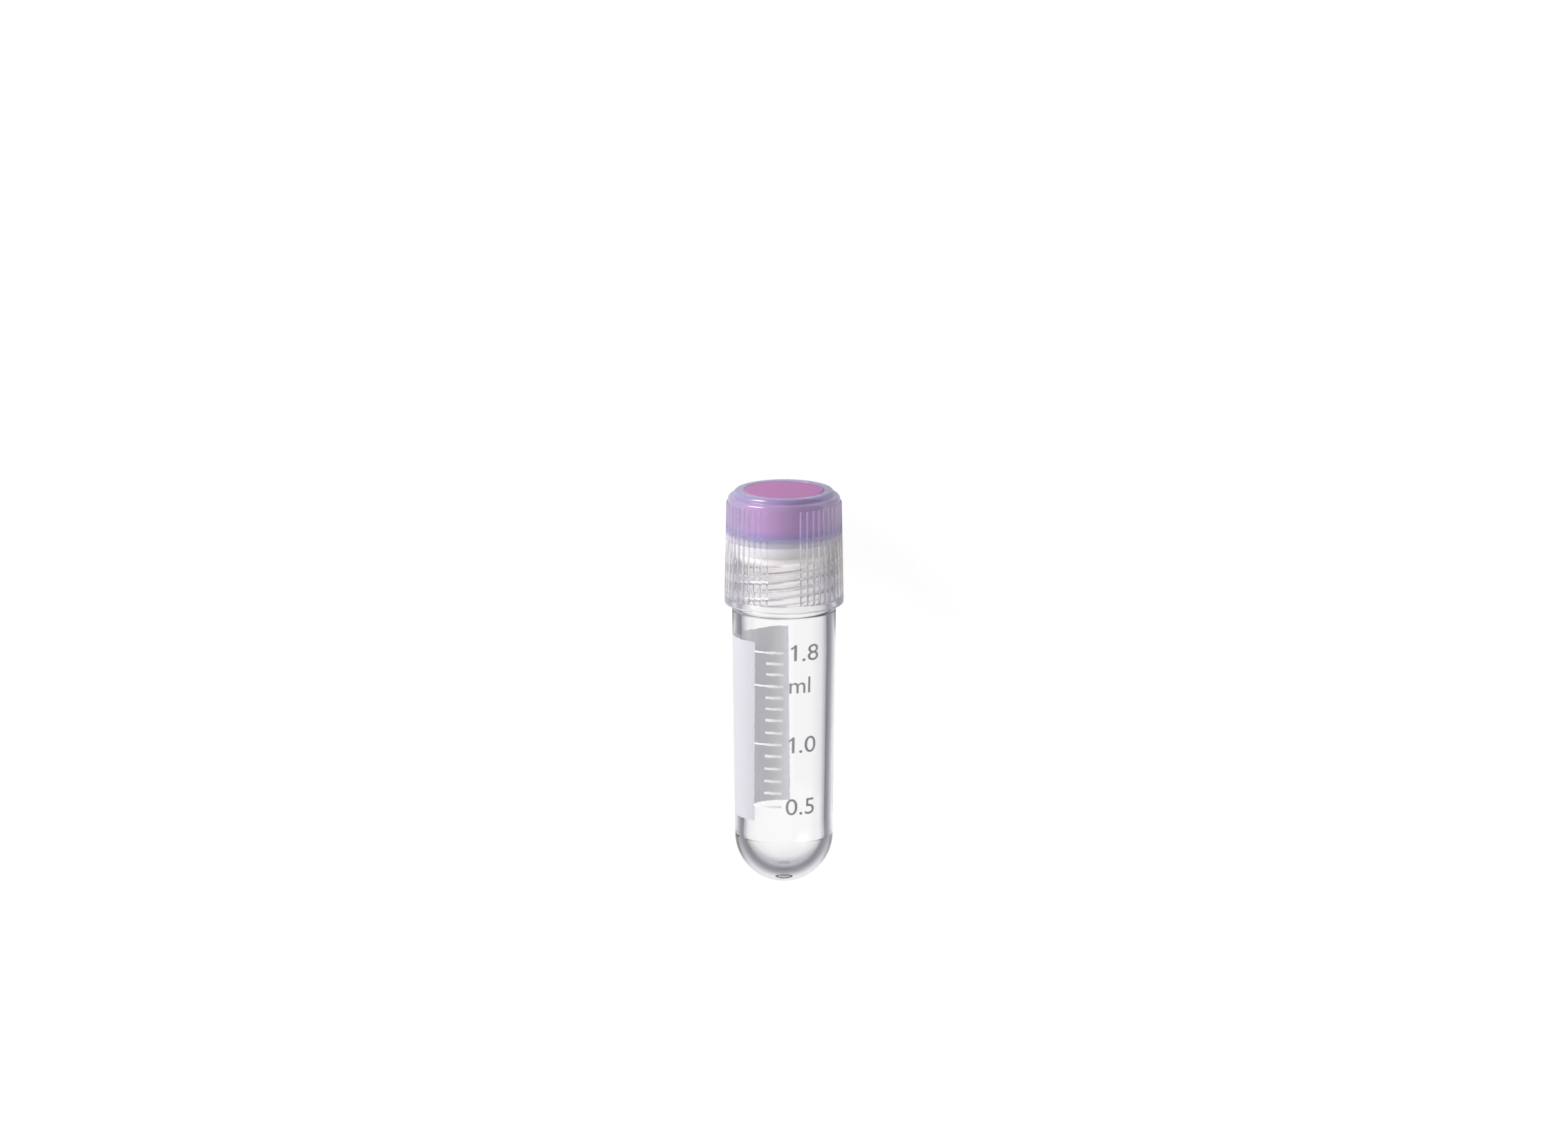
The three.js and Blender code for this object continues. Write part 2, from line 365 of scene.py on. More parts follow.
wall_and_ledge = node(tree, "ShaderNodeMath", {
    0: ledge.outputs[0],
    1: 0.35,
    2: wall_polish.outputs[0],
}, operation="MULTIPLY_ADD")
from_middle = node(tree, "ShaderNodeVectorMath", {
    0: upright.outputs[0],
    1: (0, 0, (BOTTOM_WALL + inner_dome) * MM),
}, operation="DISTANCE")
bore_end = node(tree, "ShaderNodeMapRange", {
    "Value": from_middle.outputs["Value"],
    "From Min": 4.7 * MM,
    "From Max": 4.9 * MM,
    "To Min": 0.1,
    "To Max": 0.0,
})
polish = node(tree, "ShaderNodeMath", {
    0: wall_and_ledge.outputs[0],
    1: bore_end.outputs[0],
}, operation="ADD")
# Round the gate's dimple the colour is painted darker: a painted dark reflection in its walls.
from_gate = node(tree, "ShaderNodeVectorMath", {0: upright.outputs[0]}, operation="LENGTH")
painted_gate_dark_reflection = node(tree, "ShaderNodeMapRange", {
    "Value": from_gate.outputs["Value"],
    "From Min": 0.7 * MM,
    "From Max": 0.9 * MM,
})
tint = node(tree, "ShaderNodeMix", {
    "Factor": painted_gate_dark_reflection.outputs[0],
    "A": linear("#8E8E94"),
    "B": linear("#FFFFFF"),
}, data_type="RGBA")
plastic = node(tree, "ShaderNodeBsdfPrincipled", {
    "Base Color": tint.outputs["Result"],
    "Roughness": polish.outputs[0],
    "IOR": POLYPROPYLENE_IOR,
    "Transmission Weight": 1.0,
    "Normal": bump.outputs[0],
})
milky = node(tree, "ShaderNodeBsdfPrincipled", {
    "Base Color": linear("#FFFCFA"),
    "Roughness": 0.3,
    "IOR": POLYPROPYLENE_IOR,
})
rim = node(tree, "ShaderNodeMapRange", {
    "Value": place.outputs["Z"],
    "From Min": 37.9 * MM,
    "From Max": 38.6 * MM,
    "To Max": 0.6,
})
moulding = node(tree, "ShaderNodeMixShader", {
    0: rim.outputs[0],
    1: plastic.outputs[0],
    2: milky.outputs[0],
})
finish_clear(tree, moulding, "#FAFAFC")
tube.data.materials.clear()
tube.data.materials.append(clear_polypropylene)
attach(tube, "vial")
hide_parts("vial")


# ---- Print on the tube ----
# A writing panel, graduation marks and their numerals, printed on the tube in white ink. The panel
# wraps round the tube's left side to its back, where its top edge slopes down, so that its inner face
# shows through the plastic as a grey field behind the marks. The grey of that inner face and of the
# numerals is painted shade on the white ink, and the marks' ink is painted lighter.

PRINT_RADIUS = 5.8
PRINT_SKEW = math.radians(0.14)
SKEW_FROM = 28
INK_THICKNESS = 0.02
INK_SUNK = 0.012
PANEL_HEIGHTS = (8.1, 29.1)
PANEL_ANGLES = (-185.5, -34.0)
PANEL_DROP = 0.7
PANEL_DROP_FROM = 90
PANEL_DROP_OVER = 50
MARK_WIDTH = 0.29
MARK_LEFT = -19.8
MARK_DRIFT = 0.08
MARK_CELL = 0.22
LONG_MARKS = (0, 3, 8, 13)
LONG_MARK_ANGLES = (-34.6, -19)
LONG_MARK_TRIM = (0.06, 0.04)
LONG_MARK_RAGGED = 0.025
RAGGED = 0.04
GRADUATIONS = [
    28.04, 26.76, 25.5, 24.11, 22.76, 21.46, 20.11,
    18.63, 17.25, 15.9, 14.42, 12.95, 11.54, 9.97,
]
NUMERAL_HEIGHT = 1.95
NUMERAL_SHARE = 0.72
NUMERAL_CUTS = 19
CUT_SPACING = 0.3
STEM_PLACE = 0.547
FLAG_SIZE = (0.62, 0.22)
FLAG_BACK = 0.1
FLAG_UP = 1.55
FLAG_SLOPE = math.radians(35)

random.seed(18)


def wrapped(piece):
    """Wraps flat print, X round the tube and Y up it, onto the tube's drafted wall."""
    for vertex in piece.data.vertices:
        angle = vertex.co.x / (PRINT_RADIUS * MM) + PRINT_SKEW * (vertex.co.y / MM - SKEW_FROM)
        radius = tube_radius(vertex.co.y / MM) * MM + vertex.co.z
        vertex.co = (radius * math.sin(angle), -radius * math.cos(angle), vertex.co.y)
    return laid(piece)


def field(name, left, right, low, high, ragged, cell=0.3):
    """A flat printed field between two angles and two heights, its edge ragged by that much."""
    width = math.radians(right - left) * PRINT_RADIUS
    middle = math.radians(right + left) / 2 * PRINT_RADIUS
    bpy.ops.object.select_all(action="DESELECT")
    bpy.ops.mesh.primitive_grid_add(
        x_subdivisions=max(2, round(width / cell)),
        y_subdivisions=max(2, round((high - low) / cell)),
        size=MM,
        location=(middle * MM, (high + low) / 2 * MM, 0),
    )
    piece = bpy.context.object
    piece.name = name
    piece.scale = (width, high - low, 1)
    bpy.ops.object.transform_apply(location=True, rotation=True, scale=True)
    for vertex in piece.data.vertices:
        side = abs(abs(vertex.co.x - middle * MM) - width / 2 * MM) < 1e-7
        end = abs(abs(vertex.co.y - (high + low) / 2 * MM) - (high - low) / 2 * MM) < 1e-7
        vertex.co.x += side * random.uniform(-ragged, ragged) * MM
        vertex.co.y += end * random.uniform(-ragged, ragged) * MM
    return piece


def inked(piece, thickness, material, back_material=None):
    """Gives flat print its thickness, from just inside the plastic, and its colours."""
    alone(piece)
    ink = piece.modifiers.new("ink", "SOLIDIFY")
    ink.thickness = (thickness + INK_SUNK) * MM
    ink.offset = -1
    ink.material_offset = 1 if back_material else 0
    piece.data.materials.append(material)
    if back_material:
        piece.data.materials.append(back_material)
    bpy.ops.object.modifier_apply(modifier="ink")
    for vertex in piece.data.vertices:
        vertex.co.z += thickness * MM
    return wrapped(piece)


def ink_finish(name, colour, roughness):
    """A screen-printed ink: satin, with the faint mottling of a thin coat, 0.4 mm across."""
    material = finish_named(name)
    tree = material.node_tree
    coordinates = node(tree, "ShaderNodeTexCoord")
    mottling = node(tree, "ShaderNodeTexNoise", {
        "Vector": coordinates.outputs["Object"],
        "Scale": 1 / (0.4 * MM),
        "Detail": 2.0,
    })
    tone = node(tree, "ShaderNodeHueSaturation", {
        "Value": node(tree, "ShaderNodeMapRange", {
            "Value": mottling.outputs["Fac"],
            "To Min": 0.96,
            "To Max": 1.04,
        }).outputs[0],
        "Color": linear(colour),
    })
    coat = node(tree, "ShaderNodeBsdfPrincipled", {
        "Base Color": tone.outputs[0],
        "Roughness": roughness,
        "IOR": 1.5,
    })
    path = node(tree, "ShaderNodeLightPath")
    lighting = node(tree, "ShaderNodeMath", {
        0: path.outputs["Is Shadow Ray"],
        1: path.outputs["Diffuse Depth"],
    }, operation="MAXIMUM")
    shine_through = node(tree, "ShaderNodeBsdfTransparent", {"Color": linear("#F8F8F8")})
    thin_coat = node(tree, "ShaderNodeMixShader", {
        0: lighting.outputs[0],
        1: coat.outputs[0],
        2: shine_through.outputs[0],
    })
    node(tree, "ShaderNodeOutputMaterial", {"Surface": thin_coat.outputs[0]})
    return material


white_ink = ink_finish("white_printing_ink", "#CCCAD1", 0.5)
# The panel's inner face is the same white ink, painted darker: painted shade.
white_ink_painted_shade_inside = ink_finish("white_ink_inner_face_painted_shade", "#BEBEC2", 0.6)
# The marks are the panel's white ink painted lighter: painted light.
white_ink_painted_lighter = ink_finish("white_ink_painted_lighter_marks", "#FAFAFC", 0.5)
# The numerals are the panel's white ink painted grey: painted shade for ink lit less from the front.
white_ink_painted_grey = ink_finish("white_ink_painted_grey_shade", "#B6B6BC", 0.5)

panel = field("print_panel", *PANEL_ANGLES, *PANEL_HEIGHTS, RAGGED)
for vertex in panel.data.vertices:
    angle = -math.degrees(vertex.co.x / (PRINT_RADIUS * MM))
    round_the_back = min(1, max(0, angle - PANEL_DROP_FROM) / PANEL_DROP_OVER)
    up = (vertex.co.y / MM - PANEL_HEIGHTS[0]) / (PANEL_HEIGHTS[1] - PANEL_HEIGHTS[0])
    vertex.co.y -= PANEL_DROP * MM * round_the_back * up
inked(panel, INK_THICKNESS, white_ink, white_ink_painted_shade_inside)

marks = []
for i, height in enumerate(GRADUATIONS):
    drift = MARK_DRIFT * (GRADUATIONS[0] - height)
    low, high = height - MARK_WIDTH / 2, height + MARK_WIDTH / 2
    marks.append(field(f"mark_{i}", MARK_LEFT - drift, -drift / 2, low, high, RAGGED, MARK_CELL))
    if i in LONG_MARKS:
        left, right = LONG_MARK_ANGLES
        low, high = low + LONG_MARK_TRIM[0], high - LONG_MARK_TRIM[1]
        marks.append(field(f"long_mark_{i}", left, right - drift, low, high, LONG_MARK_RAGGED))
marks = gathered(marks)
marks.name = "graduation_marks"
inked(marks, INK_THICKNESS + 0.006, white_ink_painted_lighter)

NUMERALS = [
    ("1", 27.1, 0.49, 1.2),
    (".8", 27.04, 1.95, 1.2),
    ("ml", 23.3, 0.5, 1.06),
    ("1", 16.3, 0.42, 1.17),
    (".0", 16.3, 1.76, 1.22),
    ("0.5", 9.02, 0.36, 1.16),
]
words = []
for word, foot, left, breadth in NUMERALS:
    bpy.ops.object.select_all(action="DESELECT")
    bpy.ops.object.text_add(radius=NUMERAL_HEIGHT / NUMERAL_SHARE * MM, location=(left * MM, foot * MM, 0))
    text = bpy.context.object
    text.data.body = word
    text.data.resolution_u = 6
    bpy.ops.object.convert(target="MESH")
    bpy.context.object.scale.x = breadth
    bpy.ops.object.transform_apply(location=True, rotation=True, scale=True)
    words.append(bpy.context.object)
    if word == "1":  # its flag is a slanting stroke laid over the top of the stem
        stem = left + STEM_PLACE * breadth
        flag_place = ((stem - FLAG_BACK) * MM, (foot + FLAG_UP) * MM, 0)
        bpy.ops.mesh.primitive_plane_add(size=MM, location=flag_place)
        flag = bpy.context.object
        flag.scale = (*FLAG_SIZE, 1)
        flag.rotation_euler.z = FLAG_SLOPE
        bpy.ops.object.transform_apply(location=True, rotation=True, scale=True)
        words.append(flag)
numerals = gathered(words)
numerals.name = "graduation_numerals"
bpy.ops.object.mode_set(mode="EDIT")
bpy.ops.mesh.select_all(action="SELECT")
bpy.ops.mesh.remove_doubles(threshold=WELD)
for i in range(1, NUMERAL_CUTS + 1):
    bpy.ops.mesh.select_all(action="SELECT")
    bpy.ops.mesh.bisect(plane_co=(CUT_SPACING * i * MM, 0, 0), plane_no=(1, 0, 0))
bpy.ops.object.mode_set(mode="OBJECT")
inked(numerals, INK_THICKNESS, white_ink_painted_grey)

for print_piece, ink_slot in ((panel, "print_white"), (marks, "print_white"), (numerals, "print_grey")):
    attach(print_piece, "vial")


# ---- Sealing washer ----
# A flat ring punched from white silicone rubber, held between the cap's floor and the vial's rim.
# It is soft and matt, and shows through the cap as a pale band.

WASHER_HEIGHTS = (39.0, 40.1)
WASHER_RADII = (4.355, 5.855)
WASHER_SEAM = 39.5

washer = spun("washer_ring", [
    (WASHER_RADII[0], WASHER_SEAM),
    (WASHER_RADII[0], WASHER_HEIGHTS[0], 0.08),
    (WASHER_RADII[1], WASHER_HEIGHTS[0], 0.08),
    (WASHER_RADII[1], WASHER_HEIGHTS[1], 0.08),
    (WASHER_RADII[0], WASHER_HEIGHTS[1], 0.08),
    (WASHER_RADII[0], WASHER_SEAM),
], steps=96)
bpy.ops.object.shade_smooth_by_angle(angle=CREASE)
laid(washer)

# White silicone: milky and slightly waxy, with a matt punched surface of about 0.1 mm grain.
silicone = finish_named("white_silicone_rubber")
tree = silicone.node_tree
coordinates = node(tree, "ShaderNodeTexCoord")
grain = node(tree, "ShaderNodeTexNoise", {
    "Vector": coordinates.outputs["Object"],
    "Scale": 1 / (0.1 * MM),
})
bump = node(tree, "ShaderNodeBump", {
    "Height": grain.outputs["Fac"],
    "Strength": 0.3,
    "Distance": 0.01 * MM,
})
rubber = node(tree, "ShaderNodeBsdfPrincipled", {
    "Base Color": linear("#BCBCBA"),
    "Subsurface Weight": 1.0,
    "Subsurface Radius": (1, 1, 1),
    "Subsurface Scale": 5.0 * MM,
    "Roughness": 0.6,
    "IOR": 1.41,
    "Normal": bump.outputs[0],
})
node(tree, "ShaderNodeOutputMaterial", {"Surface": rubber.outputs[0]})
washer.data.materials.append(silicone)
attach(washer, "washer")
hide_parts("sealing_washer")


# ---- Cap ----
# The screw cap, moulded in translucent polypropylene: a skirt with the thread inside, gripping ribs
# with a plain window front and back, a smooth band round the foot, and a stepped top whose recess
# takes the insert.

CAP_FOOT = 32.73
CAP_BORE = 6.055
CAP_THREAD_CREST = 5.655
CAP_THREAD_SPAN = (33.73, 38.15)
CAP_FLOOR = (40.2, 41.0)
CAP_DRAFT = math.radians(1)
RIB_ROOT_AT_FOOT = 6.585
BAND_RADIUS = 6.8
BAND_HEIGHT = 0.87
RIB_WIDTH = 0.47
RIB_HEIGHT = 0.215
RIB_SUNK = 0.1
RIBS_A_SIDE = 22
RIBS_TOP = 44.5
WINDOW_HALF_ANGLE = math.radians(16.2)
COLLAR_FOOT = 45.2
COLLAR_STEP = 0.66
COLLAR_WALL = 1.1
TIER_ROUND = 0.4
# Height, colour and share of milky scatter: the share is the plastic's own cloud, and the lavender and
# blue round the insert and at the rim are painted light from the insert.
CLOUD_AND_PAINTED_INSERT_LIGHT = [
    (CAP_FOOT, "#D0CAD8", 0.02),
    (38.2, "#E4E0DE", 0.03),
    (39.0, "#E4E4E2", 0.14),
    (40.1, "#E0E0E4", 0.3),
    (40.7, "#D4D2E0", 0.5),
    (41.3, "#8C8CD0", 0.38),
    (42.3, "#C0A8D6", 0.24),
    (44.9, "#B8ACD2", 0.28),
    (45.3, "#A094C4", 0.35),
    (TOTAL_HEIGHT, "#8C98C0", 0.42),
]


def rib_root(height):
    """Radius of the cap's skirt between its ribs."""
    return RIB_ROOT_AT_FOOT - (height - CAP_FOOT) * math.tan(CAP_DRAFT)


tier_radius = rib_root(RIBS_TOP)
collar_radius = tier_radius - COLLAR_STEP
recess_radius = collar_radius - COLLAR_WALL
cap = spun("cap_moulding", [
    (0, CAP_FLOOR[0]),
    (CAP_BORE, CAP_FLOOR[0], 0.12),
    *[(CAP_BORE, 39.6 - 0.75 * i) for i in range(9)],
    (CAP_BORE, CAP_FOOT + 0.1),
    (CAP_BORE + 0.1, CAP_FOOT),
    (BAND_RADIUS, CAP_FOOT, 0.12),
    (BAND_RADIUS, CAP_FOOT + BAND_HEIGHT, 0.12),
    (rib_root(CAP_FOOT + BAND_HEIGHT), CAP_FOOT + BAND_HEIGHT + 0.1, 0.05),
    *[(rib_root(34.2 + i), 34.2 + i) for i in range(11)],
    *arc((tier_radius - TIER_ROUND, COLLAR_FOOT - TIER_ROUND), TIER_ROUND, 0, math.pi / 2, 8),
    (collar_radius, COLLAR_FOOT, 0.1),
    *arc((collar_radius - TIER_ROUND, TOTAL_HEIGHT - TIER_ROUND), TIER_ROUND, 0, math.pi / 2, 8),
    (recess_radius, TOTAL_HEIGHT, 0.06),
    (recess_radius, CAP_FLOOR[1], 0.1),
    (0, CAP_FLOOR[1]),
])

half_rib = RIB_WIDTH / 2
rib_foot = CAP_FOOT + BAND_HEIGHT - RIB_SUNK
bpy.ops.object.select_all(action="DESELECT")
bpy.ops.mesh.primitive_uv_sphere_add(segments=16, ring_count=8, radius=half_rib * MM)
rib = bpy.context.object
bpy.ops.object.mode_set(mode="EDIT")
bpy.ops.mesh.select_all(action="DESELECT")
bpy.ops.object.mode_set(mode="OBJECT")
for vertex in rib.data.vertices:
    vertex.select = vertex.co.z > 0.01 * MM
bpy.ops.object.mode_set(mode="EDIT")
bpy.ops.transform.translate(value=(0, 0, (RIBS_TOP - rib_foot - RIB_WIDTH) * MM))
bpy.ops.object.mode_set(mode="OBJECT")
rib.location = (0, -(rib_root(rib_foot) + RIB_HEIGHT - half_rib) * MM, (rib_foot + half_rib) * MM)
rib.rotation_euler.x = -CAP_DRAFT
bpy.ops.object.transform_apply(location=True, rotation=True, scale=True)

first_rib = WINDOW_HALF_ANGLE + half_rib / BAND_RADIUS
pitch = (math.pi - 2 * first_rib) / (RIBS_A_SIDE - 1)
ribs = []
for side in (1, -1):
    for i in range(RIBS_A_SIDE):
        alone(rib)
        bpy.ops.object.duplicate()
        bpy.context.object.rotation_euler.z = side * (first_rib + i * pitch)
        bpy.ops.object.transform_apply(location=True, rotation=True, scale=True)
        ribs.append(bpy.context.object)
bpy.data.objects.remove(rib)
ribs = gathered(ribs)
front_of_helix = THREAD_FRONT + LEAD / 4
cap_thread = thread("cap_thread", CAP_BORE, CAP_THREAD_CREST, CAP_THREAD_SPAN, front_of_helix)
joined(cap, [*cap_thread, ribs])
alone(cap)
bpy.ops.object.shade_smooth_by_angle(angle=CREASE)
laid(cap)

# Natural polypropylene: cloudier than the tube, with its cloud's colour painted by height. Lavender and
# blue round the coloured insert are painted light scattered off it, with darker blue at the rim, and the
# clear part near the insert has a painted violet tint; lower down the cloud is a neutral grey.
natural_polypropylene = finish_named("cloudy_natural_polypropylene")
tree = natural_polypropylene.node_tree
_, place, from_axis = place_on_vial(tree)
polish = node(tree, "ShaderNodeMapRange", {
    "Value": from_axis.outputs["Value"],
    "From Min": 6.2 * MM,
    "From Max": 6.35 * MM,
    "To Min": 0.03,
    "To Max": 0.04,
})
rise = node(tree, "ShaderNodeMapRange", {
    "Value": place.outputs["Z"],
    "From Min": CAP_FOOT * MM,
    "From Max": TOTAL_HEIGHT * MM,
})
cloud_and_painted_insert_light = node(tree, "ShaderNodeValToRGB", {"Fac": rise.outputs[0]})
stops = cloud_and_painted_insert_light.color_ramp.elements
while len(stops) < len(CLOUD_AND_PAINTED_INSERT_LIGHT):
    stops.new(0.5)
for stop, (height, colour, share) in zip(stops, CLOUD_AND_PAINTED_INSERT_LIGHT):
    stop.position = (height - CAP_FOOT) / (TOTAL_HEIGHT - CAP_FOOT)
    stop.color = (*linear(colour)[:3], share)
# Near the insert the clear plastic takes a painted violet tint: painted light from the insert.
painted_insert_tint_height = node(tree, "ShaderNodeMapRange", {
    "Value": place.outputs["Z"],
    "From Min": 40.6 * MM,
    "From Max": 41.4 * MM,
})
clear_with_painted_insert_tint = node(tree, "ShaderNodeMix", {
    "Factor": painted_insert_tint_height.outputs[0],
    "A": linear("#FCFAFB"),
    "B": linear("#F0E0F4"),
}, data_type="RGBA")
clear_part = node(tree, "ShaderNodeBsdfPrincipled", {
    "Base Color": clear_with_painted_insert_tint.outputs["Result"],
    "Roughness": polish.outputs[0],
    "IOR": POLYPROPYLENE_IOR,
    "Transmission Weight": 1.0,
})
cloud = node(tree, "ShaderNodeBsdfPrincipled", {
    "Base Color": cloud_and_painted_insert_light.outputs[0],
    "Roughness": 0.2,
    "IOR": POLYPROPYLENE_IOR,
})
plastic = node(tree, "ShaderNodeMixShader", {
    0: cloud_and_painted_insert_light.outputs["Alpha"],
    1: clear_part.outputs[0],
    2: cloud.outputs[0],
})
haze = node(tree, "ShaderNodeVolumeScatter", {
    "Color": linear("#D0D0E4"),
    "Density": 240.0,
    "Anisotropy": 0.2,
})
finish_clear(tree, plastic, "#F6F4FA", volume=haze)
cap.data.materials.clear()
cap.data.materials.append(natural_polypropylene)
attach(cap, "cap")
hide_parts("cap")


# ---- Cap insert ----
# A coloured cup of polypropylene pressed upside down into the cap's recess until its top is flush,
# to sort vials by colour.

INSERT_FOOT = 41.1
INSERT_TOP = 1.2
INSERT_WALL = 0.9
INSERT_CLEARANCE = 0.1

insert_radius = recess_radius - INSERT_CLEARANCE
insert = spun("cap_insert_disc", [
    (0, TOTAL_HEIGHT - INSERT_TOP),
    (insert_radius - INSERT_WALL, TOTAL_HEIGHT - INSERT_TOP, 0.2),
    (insert_radius - INSERT_WALL, INSERT_FOOT, 0.1),
    (insert_radius, INSERT_FOOT, 0.12),
    (insert_radius, TOTAL_HEIGHT, 0.15),
    (0, TOTAL_HEIGHT),
], steps=128)
bpy.ops.object.shade_smooth_by_angle(angle=CREASE)
laid(insert)

# Mauve polypropylene off a fine-sparked mould: satin, dense in colour, with a soft grain.
mauve_polypropylene = finish_named("mauve_satin_polypropylene")
tree = mauve_polypropylene.node_tree
coordinates = node(tree, "ShaderNodeTexCoord")
spark = node(tree, "ShaderNodeTexNoise", {
    "Vector": coordinates.outputs["Object"],
    "Scale": 1 / (0.12 * MM),
    "Detail": 3.0,
})
bump = node(tree, "ShaderNodeBump", {
    "Height": spark.outputs["Fac"],
    "Strength": 0.35,
    "Distance": 0.01 * MM,
})
mauve = node(tree, "ShaderNodeBsdfPrincipled", {
    "Base Color": linear("#AE72A7"),
    "Roughness": 0.55,
    "IOR": POLYPROPYLENE_IOR,
    "Normal": bump.outputs[0],
})
node(tree, "ShaderNodeOutputMaterial", {"Surface": mauve.outputs[0]})
insert.data.materials.append(mauve_polypropylene)
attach(insert, "cap")
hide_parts("cap_insert")


# ---- Bench, light and camera ----
# A pale bench that the vial lies on, a soft box and a reflector on one side of its cap, a weaker
# soft box far across, and a camera that looks down on the vial, a little from the cap's side, so
# that it stands upright in the picture.

# Seen only through the plastic, the bench is painted with a dark ring round the vial, painted shade that
# draws the tube's dark edges; to the camera it stays evenly pale.
PAINTED_RING_END = 18
PAINTED_RING_REACH = 40
PAINTED_RING_TONES = [
    (0, "#FFFFFF"),
    (4, "#FCFCFC"),
    (6, "#ECECEE"),
    (8, "#B8B8BE"),
    (10, "#8E8E98"),
    (13, "#7A7A84"),
    (17, "#80808A"),
    (22, "#A0A0A8"),
    (35, "#E8E8EA"),
]

bpy.ops.object.select_all(action="DESELECT")
bpy.ops.mesh.primitive_plane_add(size=6)
bench = bpy.context.object
bench.name = "bench"
pale_bench = finish_named("pale_bench_top")
tree = pale_bench.node_tree
path = node(tree, "ShaderNodeLightPath")
matt = node(tree, "ShaderNodeBsdfDiffuse", {"Color": linear("#F0F0F0")})
faint = node(tree, "ShaderNodeBsdfDiffuse", {"Color": linear("#808080")})
glow = node(tree, "ShaderNodeEmission", {"Strength": 0.9})
coordinates = node(tree, "ShaderNodeTexCoord")
apart = node(tree, "ShaderNodeSeparateXYZ", {"Vector": coordinates.outputs["Object"]})
no_further = node(tree, "ShaderNodeMath", {
    0: apart.outputs["X"],
    1: -PAINTED_RING_END * MM,
}, operation="MINIMUM")
past_bottom = node(tree, "ShaderNodeMath", {
    0: no_further.outputs[0],
    1: PAINTED_RING_END * MM,
}, operation="ADD")
to_vial = node(tree, "ShaderNodeCombineXYZ", {
    "X": past_bottom.outputs[0],
    "Y": apart.outputs["Y"],
})
distance = node(tree, "ShaderNodeVectorMath", {0: to_vial.outputs[0]}, operation="LENGTH")
share = node(tree, "ShaderNodeMath", {
    0: distance.outputs["Value"],
    1: PAINTED_RING_REACH * MM,
}, operation="DIVIDE")
painted_dark_ring = node(tree, "ShaderNodeValToRGB", {"Fac": share.outputs[0]})
stops = painted_dark_ring.color_ramp.elements
while len(stops) < len(PAINTED_RING_TONES):
    stops.new(0.5)
for stop, (at, tone) in zip(stops, PAINTED_RING_TONES):
    stop.position = at / PAINTED_RING_REACH
    stop.color = linear(tone)
# Glow in the painted dark ring's tones, for rays that come through the plastic.
white = node(tree, "ShaderNodeEmission", {"Color": painted_dark_ring.outputs[0], "Strength": 1.0})
seen = node(tree, "ShaderNodeAddShader", {0: faint.outputs[0], 1: glow.outputs[0]})
first = node(tree, "ShaderNodeMixShader", {
    0: path.outputs["Is Camera Ray"],
    1: matt.outputs[0],
    2: seen.outputs[0],
})
through = node(tree, "ShaderNodeMixShader", {
    0: path.outputs["Is Transmission Ray"],
    1: first.outputs[0],
    2: white.outputs[0],
})
node(tree, "ShaderNodeOutputMaterial", {"Surface": through.outputs[0]})
bench.data.materials.append(pale_bench)

LIGHT_SIDE = Vector((0.2, 0.9, 0.35))
world = bpy.data.worlds.new("studio")
world.cycles.sampling_method = "NONE"
bpy.context.scene.world = world
world.use_nodes = True
tree = world.node_tree
tree.nodes.clear()
path = node(tree, "ShaderNodeLightPath")
coordinates = node(tree, "ShaderNodeTexCoord")
facing = node(tree, "ShaderNodeVectorMath", {
    0: coordinates.outputs["Generated"],
    1: LIGHT_SIDE.normalized(),
}, operation="DOT_PRODUCT")
glow = node(tree, "ShaderNodeMapRange", {
    "Value": facing.outputs["Value"],
    "From Min": -0.3,
    "From Max": 0.9,
    "To Min": 0.75,
    "To Max": 1.05,
})
softened = node(tree, "ShaderNodeMath", {
    0: path.outputs["Is Diffuse Ray"],
    1: -0.65,
    2: 1.0,
}, operation="MULTIPLY_ADD")
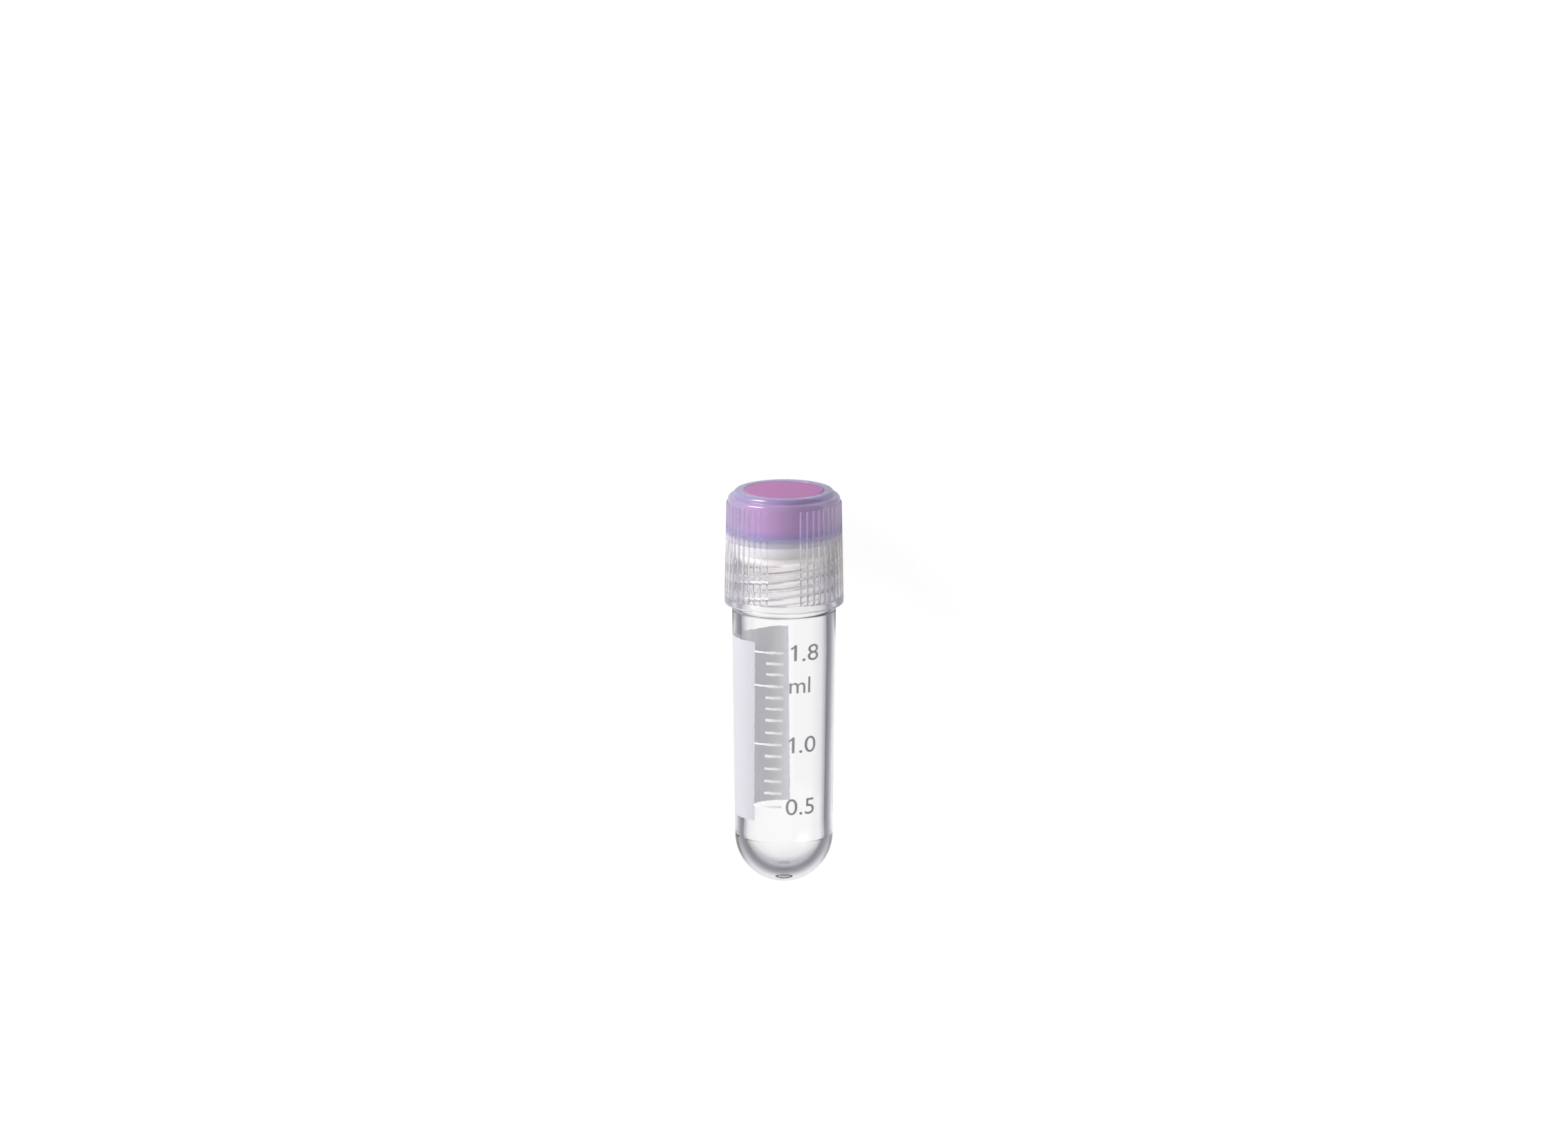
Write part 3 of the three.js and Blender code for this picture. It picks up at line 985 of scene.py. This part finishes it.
around = node(tree, "ShaderNodeMath", {
    0: glow.outputs[0],
    1: softened.outputs[0],
}, operation="MULTIPLY")
strength = node(tree, "ShaderNodeMix", {
    "Factor": path.outputs["Is Camera Ray"],
    "A": around.outputs[0],
    "B": 1.0,
})
background = node(tree, "ShaderNodeBackground", {"Strength": strength.outputs[0]})
node(tree, "ShaderNodeOutputWorld", {"Surface": background.outputs[0]})

AIM_HEIGHT = 36.57
LAMP_REACH = 0.6

aim = pole + along * AIM_HEIGHT * MM


def lamp(name, towards, size, energy):
    """A soft box that faces the cap from that side; size is one side's length, or both."""
    bpy.ops.object.light_add(type="AREA", location=aim + Vector(towards) * LAMP_REACH)
    made = bpy.context.object
    made.name = name
    made.data.size = size[0]
    if len(size) > 1:
        made.data.shape = "RECTANGLE"
        made.data.size_y = size[1]
    made.data.energy = energy
    made.rotation_euler = (made.location - aim).to_track_quat("Z", "Y").to_euler()
    return made


key = lamp("soft_box", (0.5, 0.8, 0.33), (0.35, 0.25), 4.5)
key.visible_volume_scatter = False

sheen = lamp("reflector", (0.5, 0.7, 0.5), (0.28, 0.22), 1.3)
sheen.visible_diffuse = False
sheen.visible_transmission = False
sheen.visible_volume_scatter = False

fill = lamp("far_soft_box", (0, -1, 0.15), (0.35,), 1.5)
fill.visible_glossy = False
fill.visible_transmission = False

CAMERA_TILT = math.radians(13)
CAMERA_DISTANCE = 1.2
BOUNCES = 24

towards_camera = along * math.sin(CAMERA_TILT) + frontward * math.cos(CAMERA_TILT)
bpy.ops.object.camera_add()
camera = bpy.context.object
turned = Matrix((rightward, towards_camera.cross(rightward), towards_camera)).transposed().to_4x4()
camera.matrix_world = Matrix.Translation(aim + towards_camera * CAMERA_DISTANCE) @ turned
camera.data.lens = 242
camera.data.sensor_width = 36
camera.data.clip_start = 0.1
camera.data.clip_end = 10
bpy.context.scene.camera = camera

scene = bpy.context.scene
scene.view_settings.view_transform = "Standard"
scene.cycles.max_bounces = BOUNCES
scene.cycles.transmission_bounces = BOUNCES
scene.cycles.transparent_max_bounces = BOUNCES
scene.cycles.volume_bounces = 4
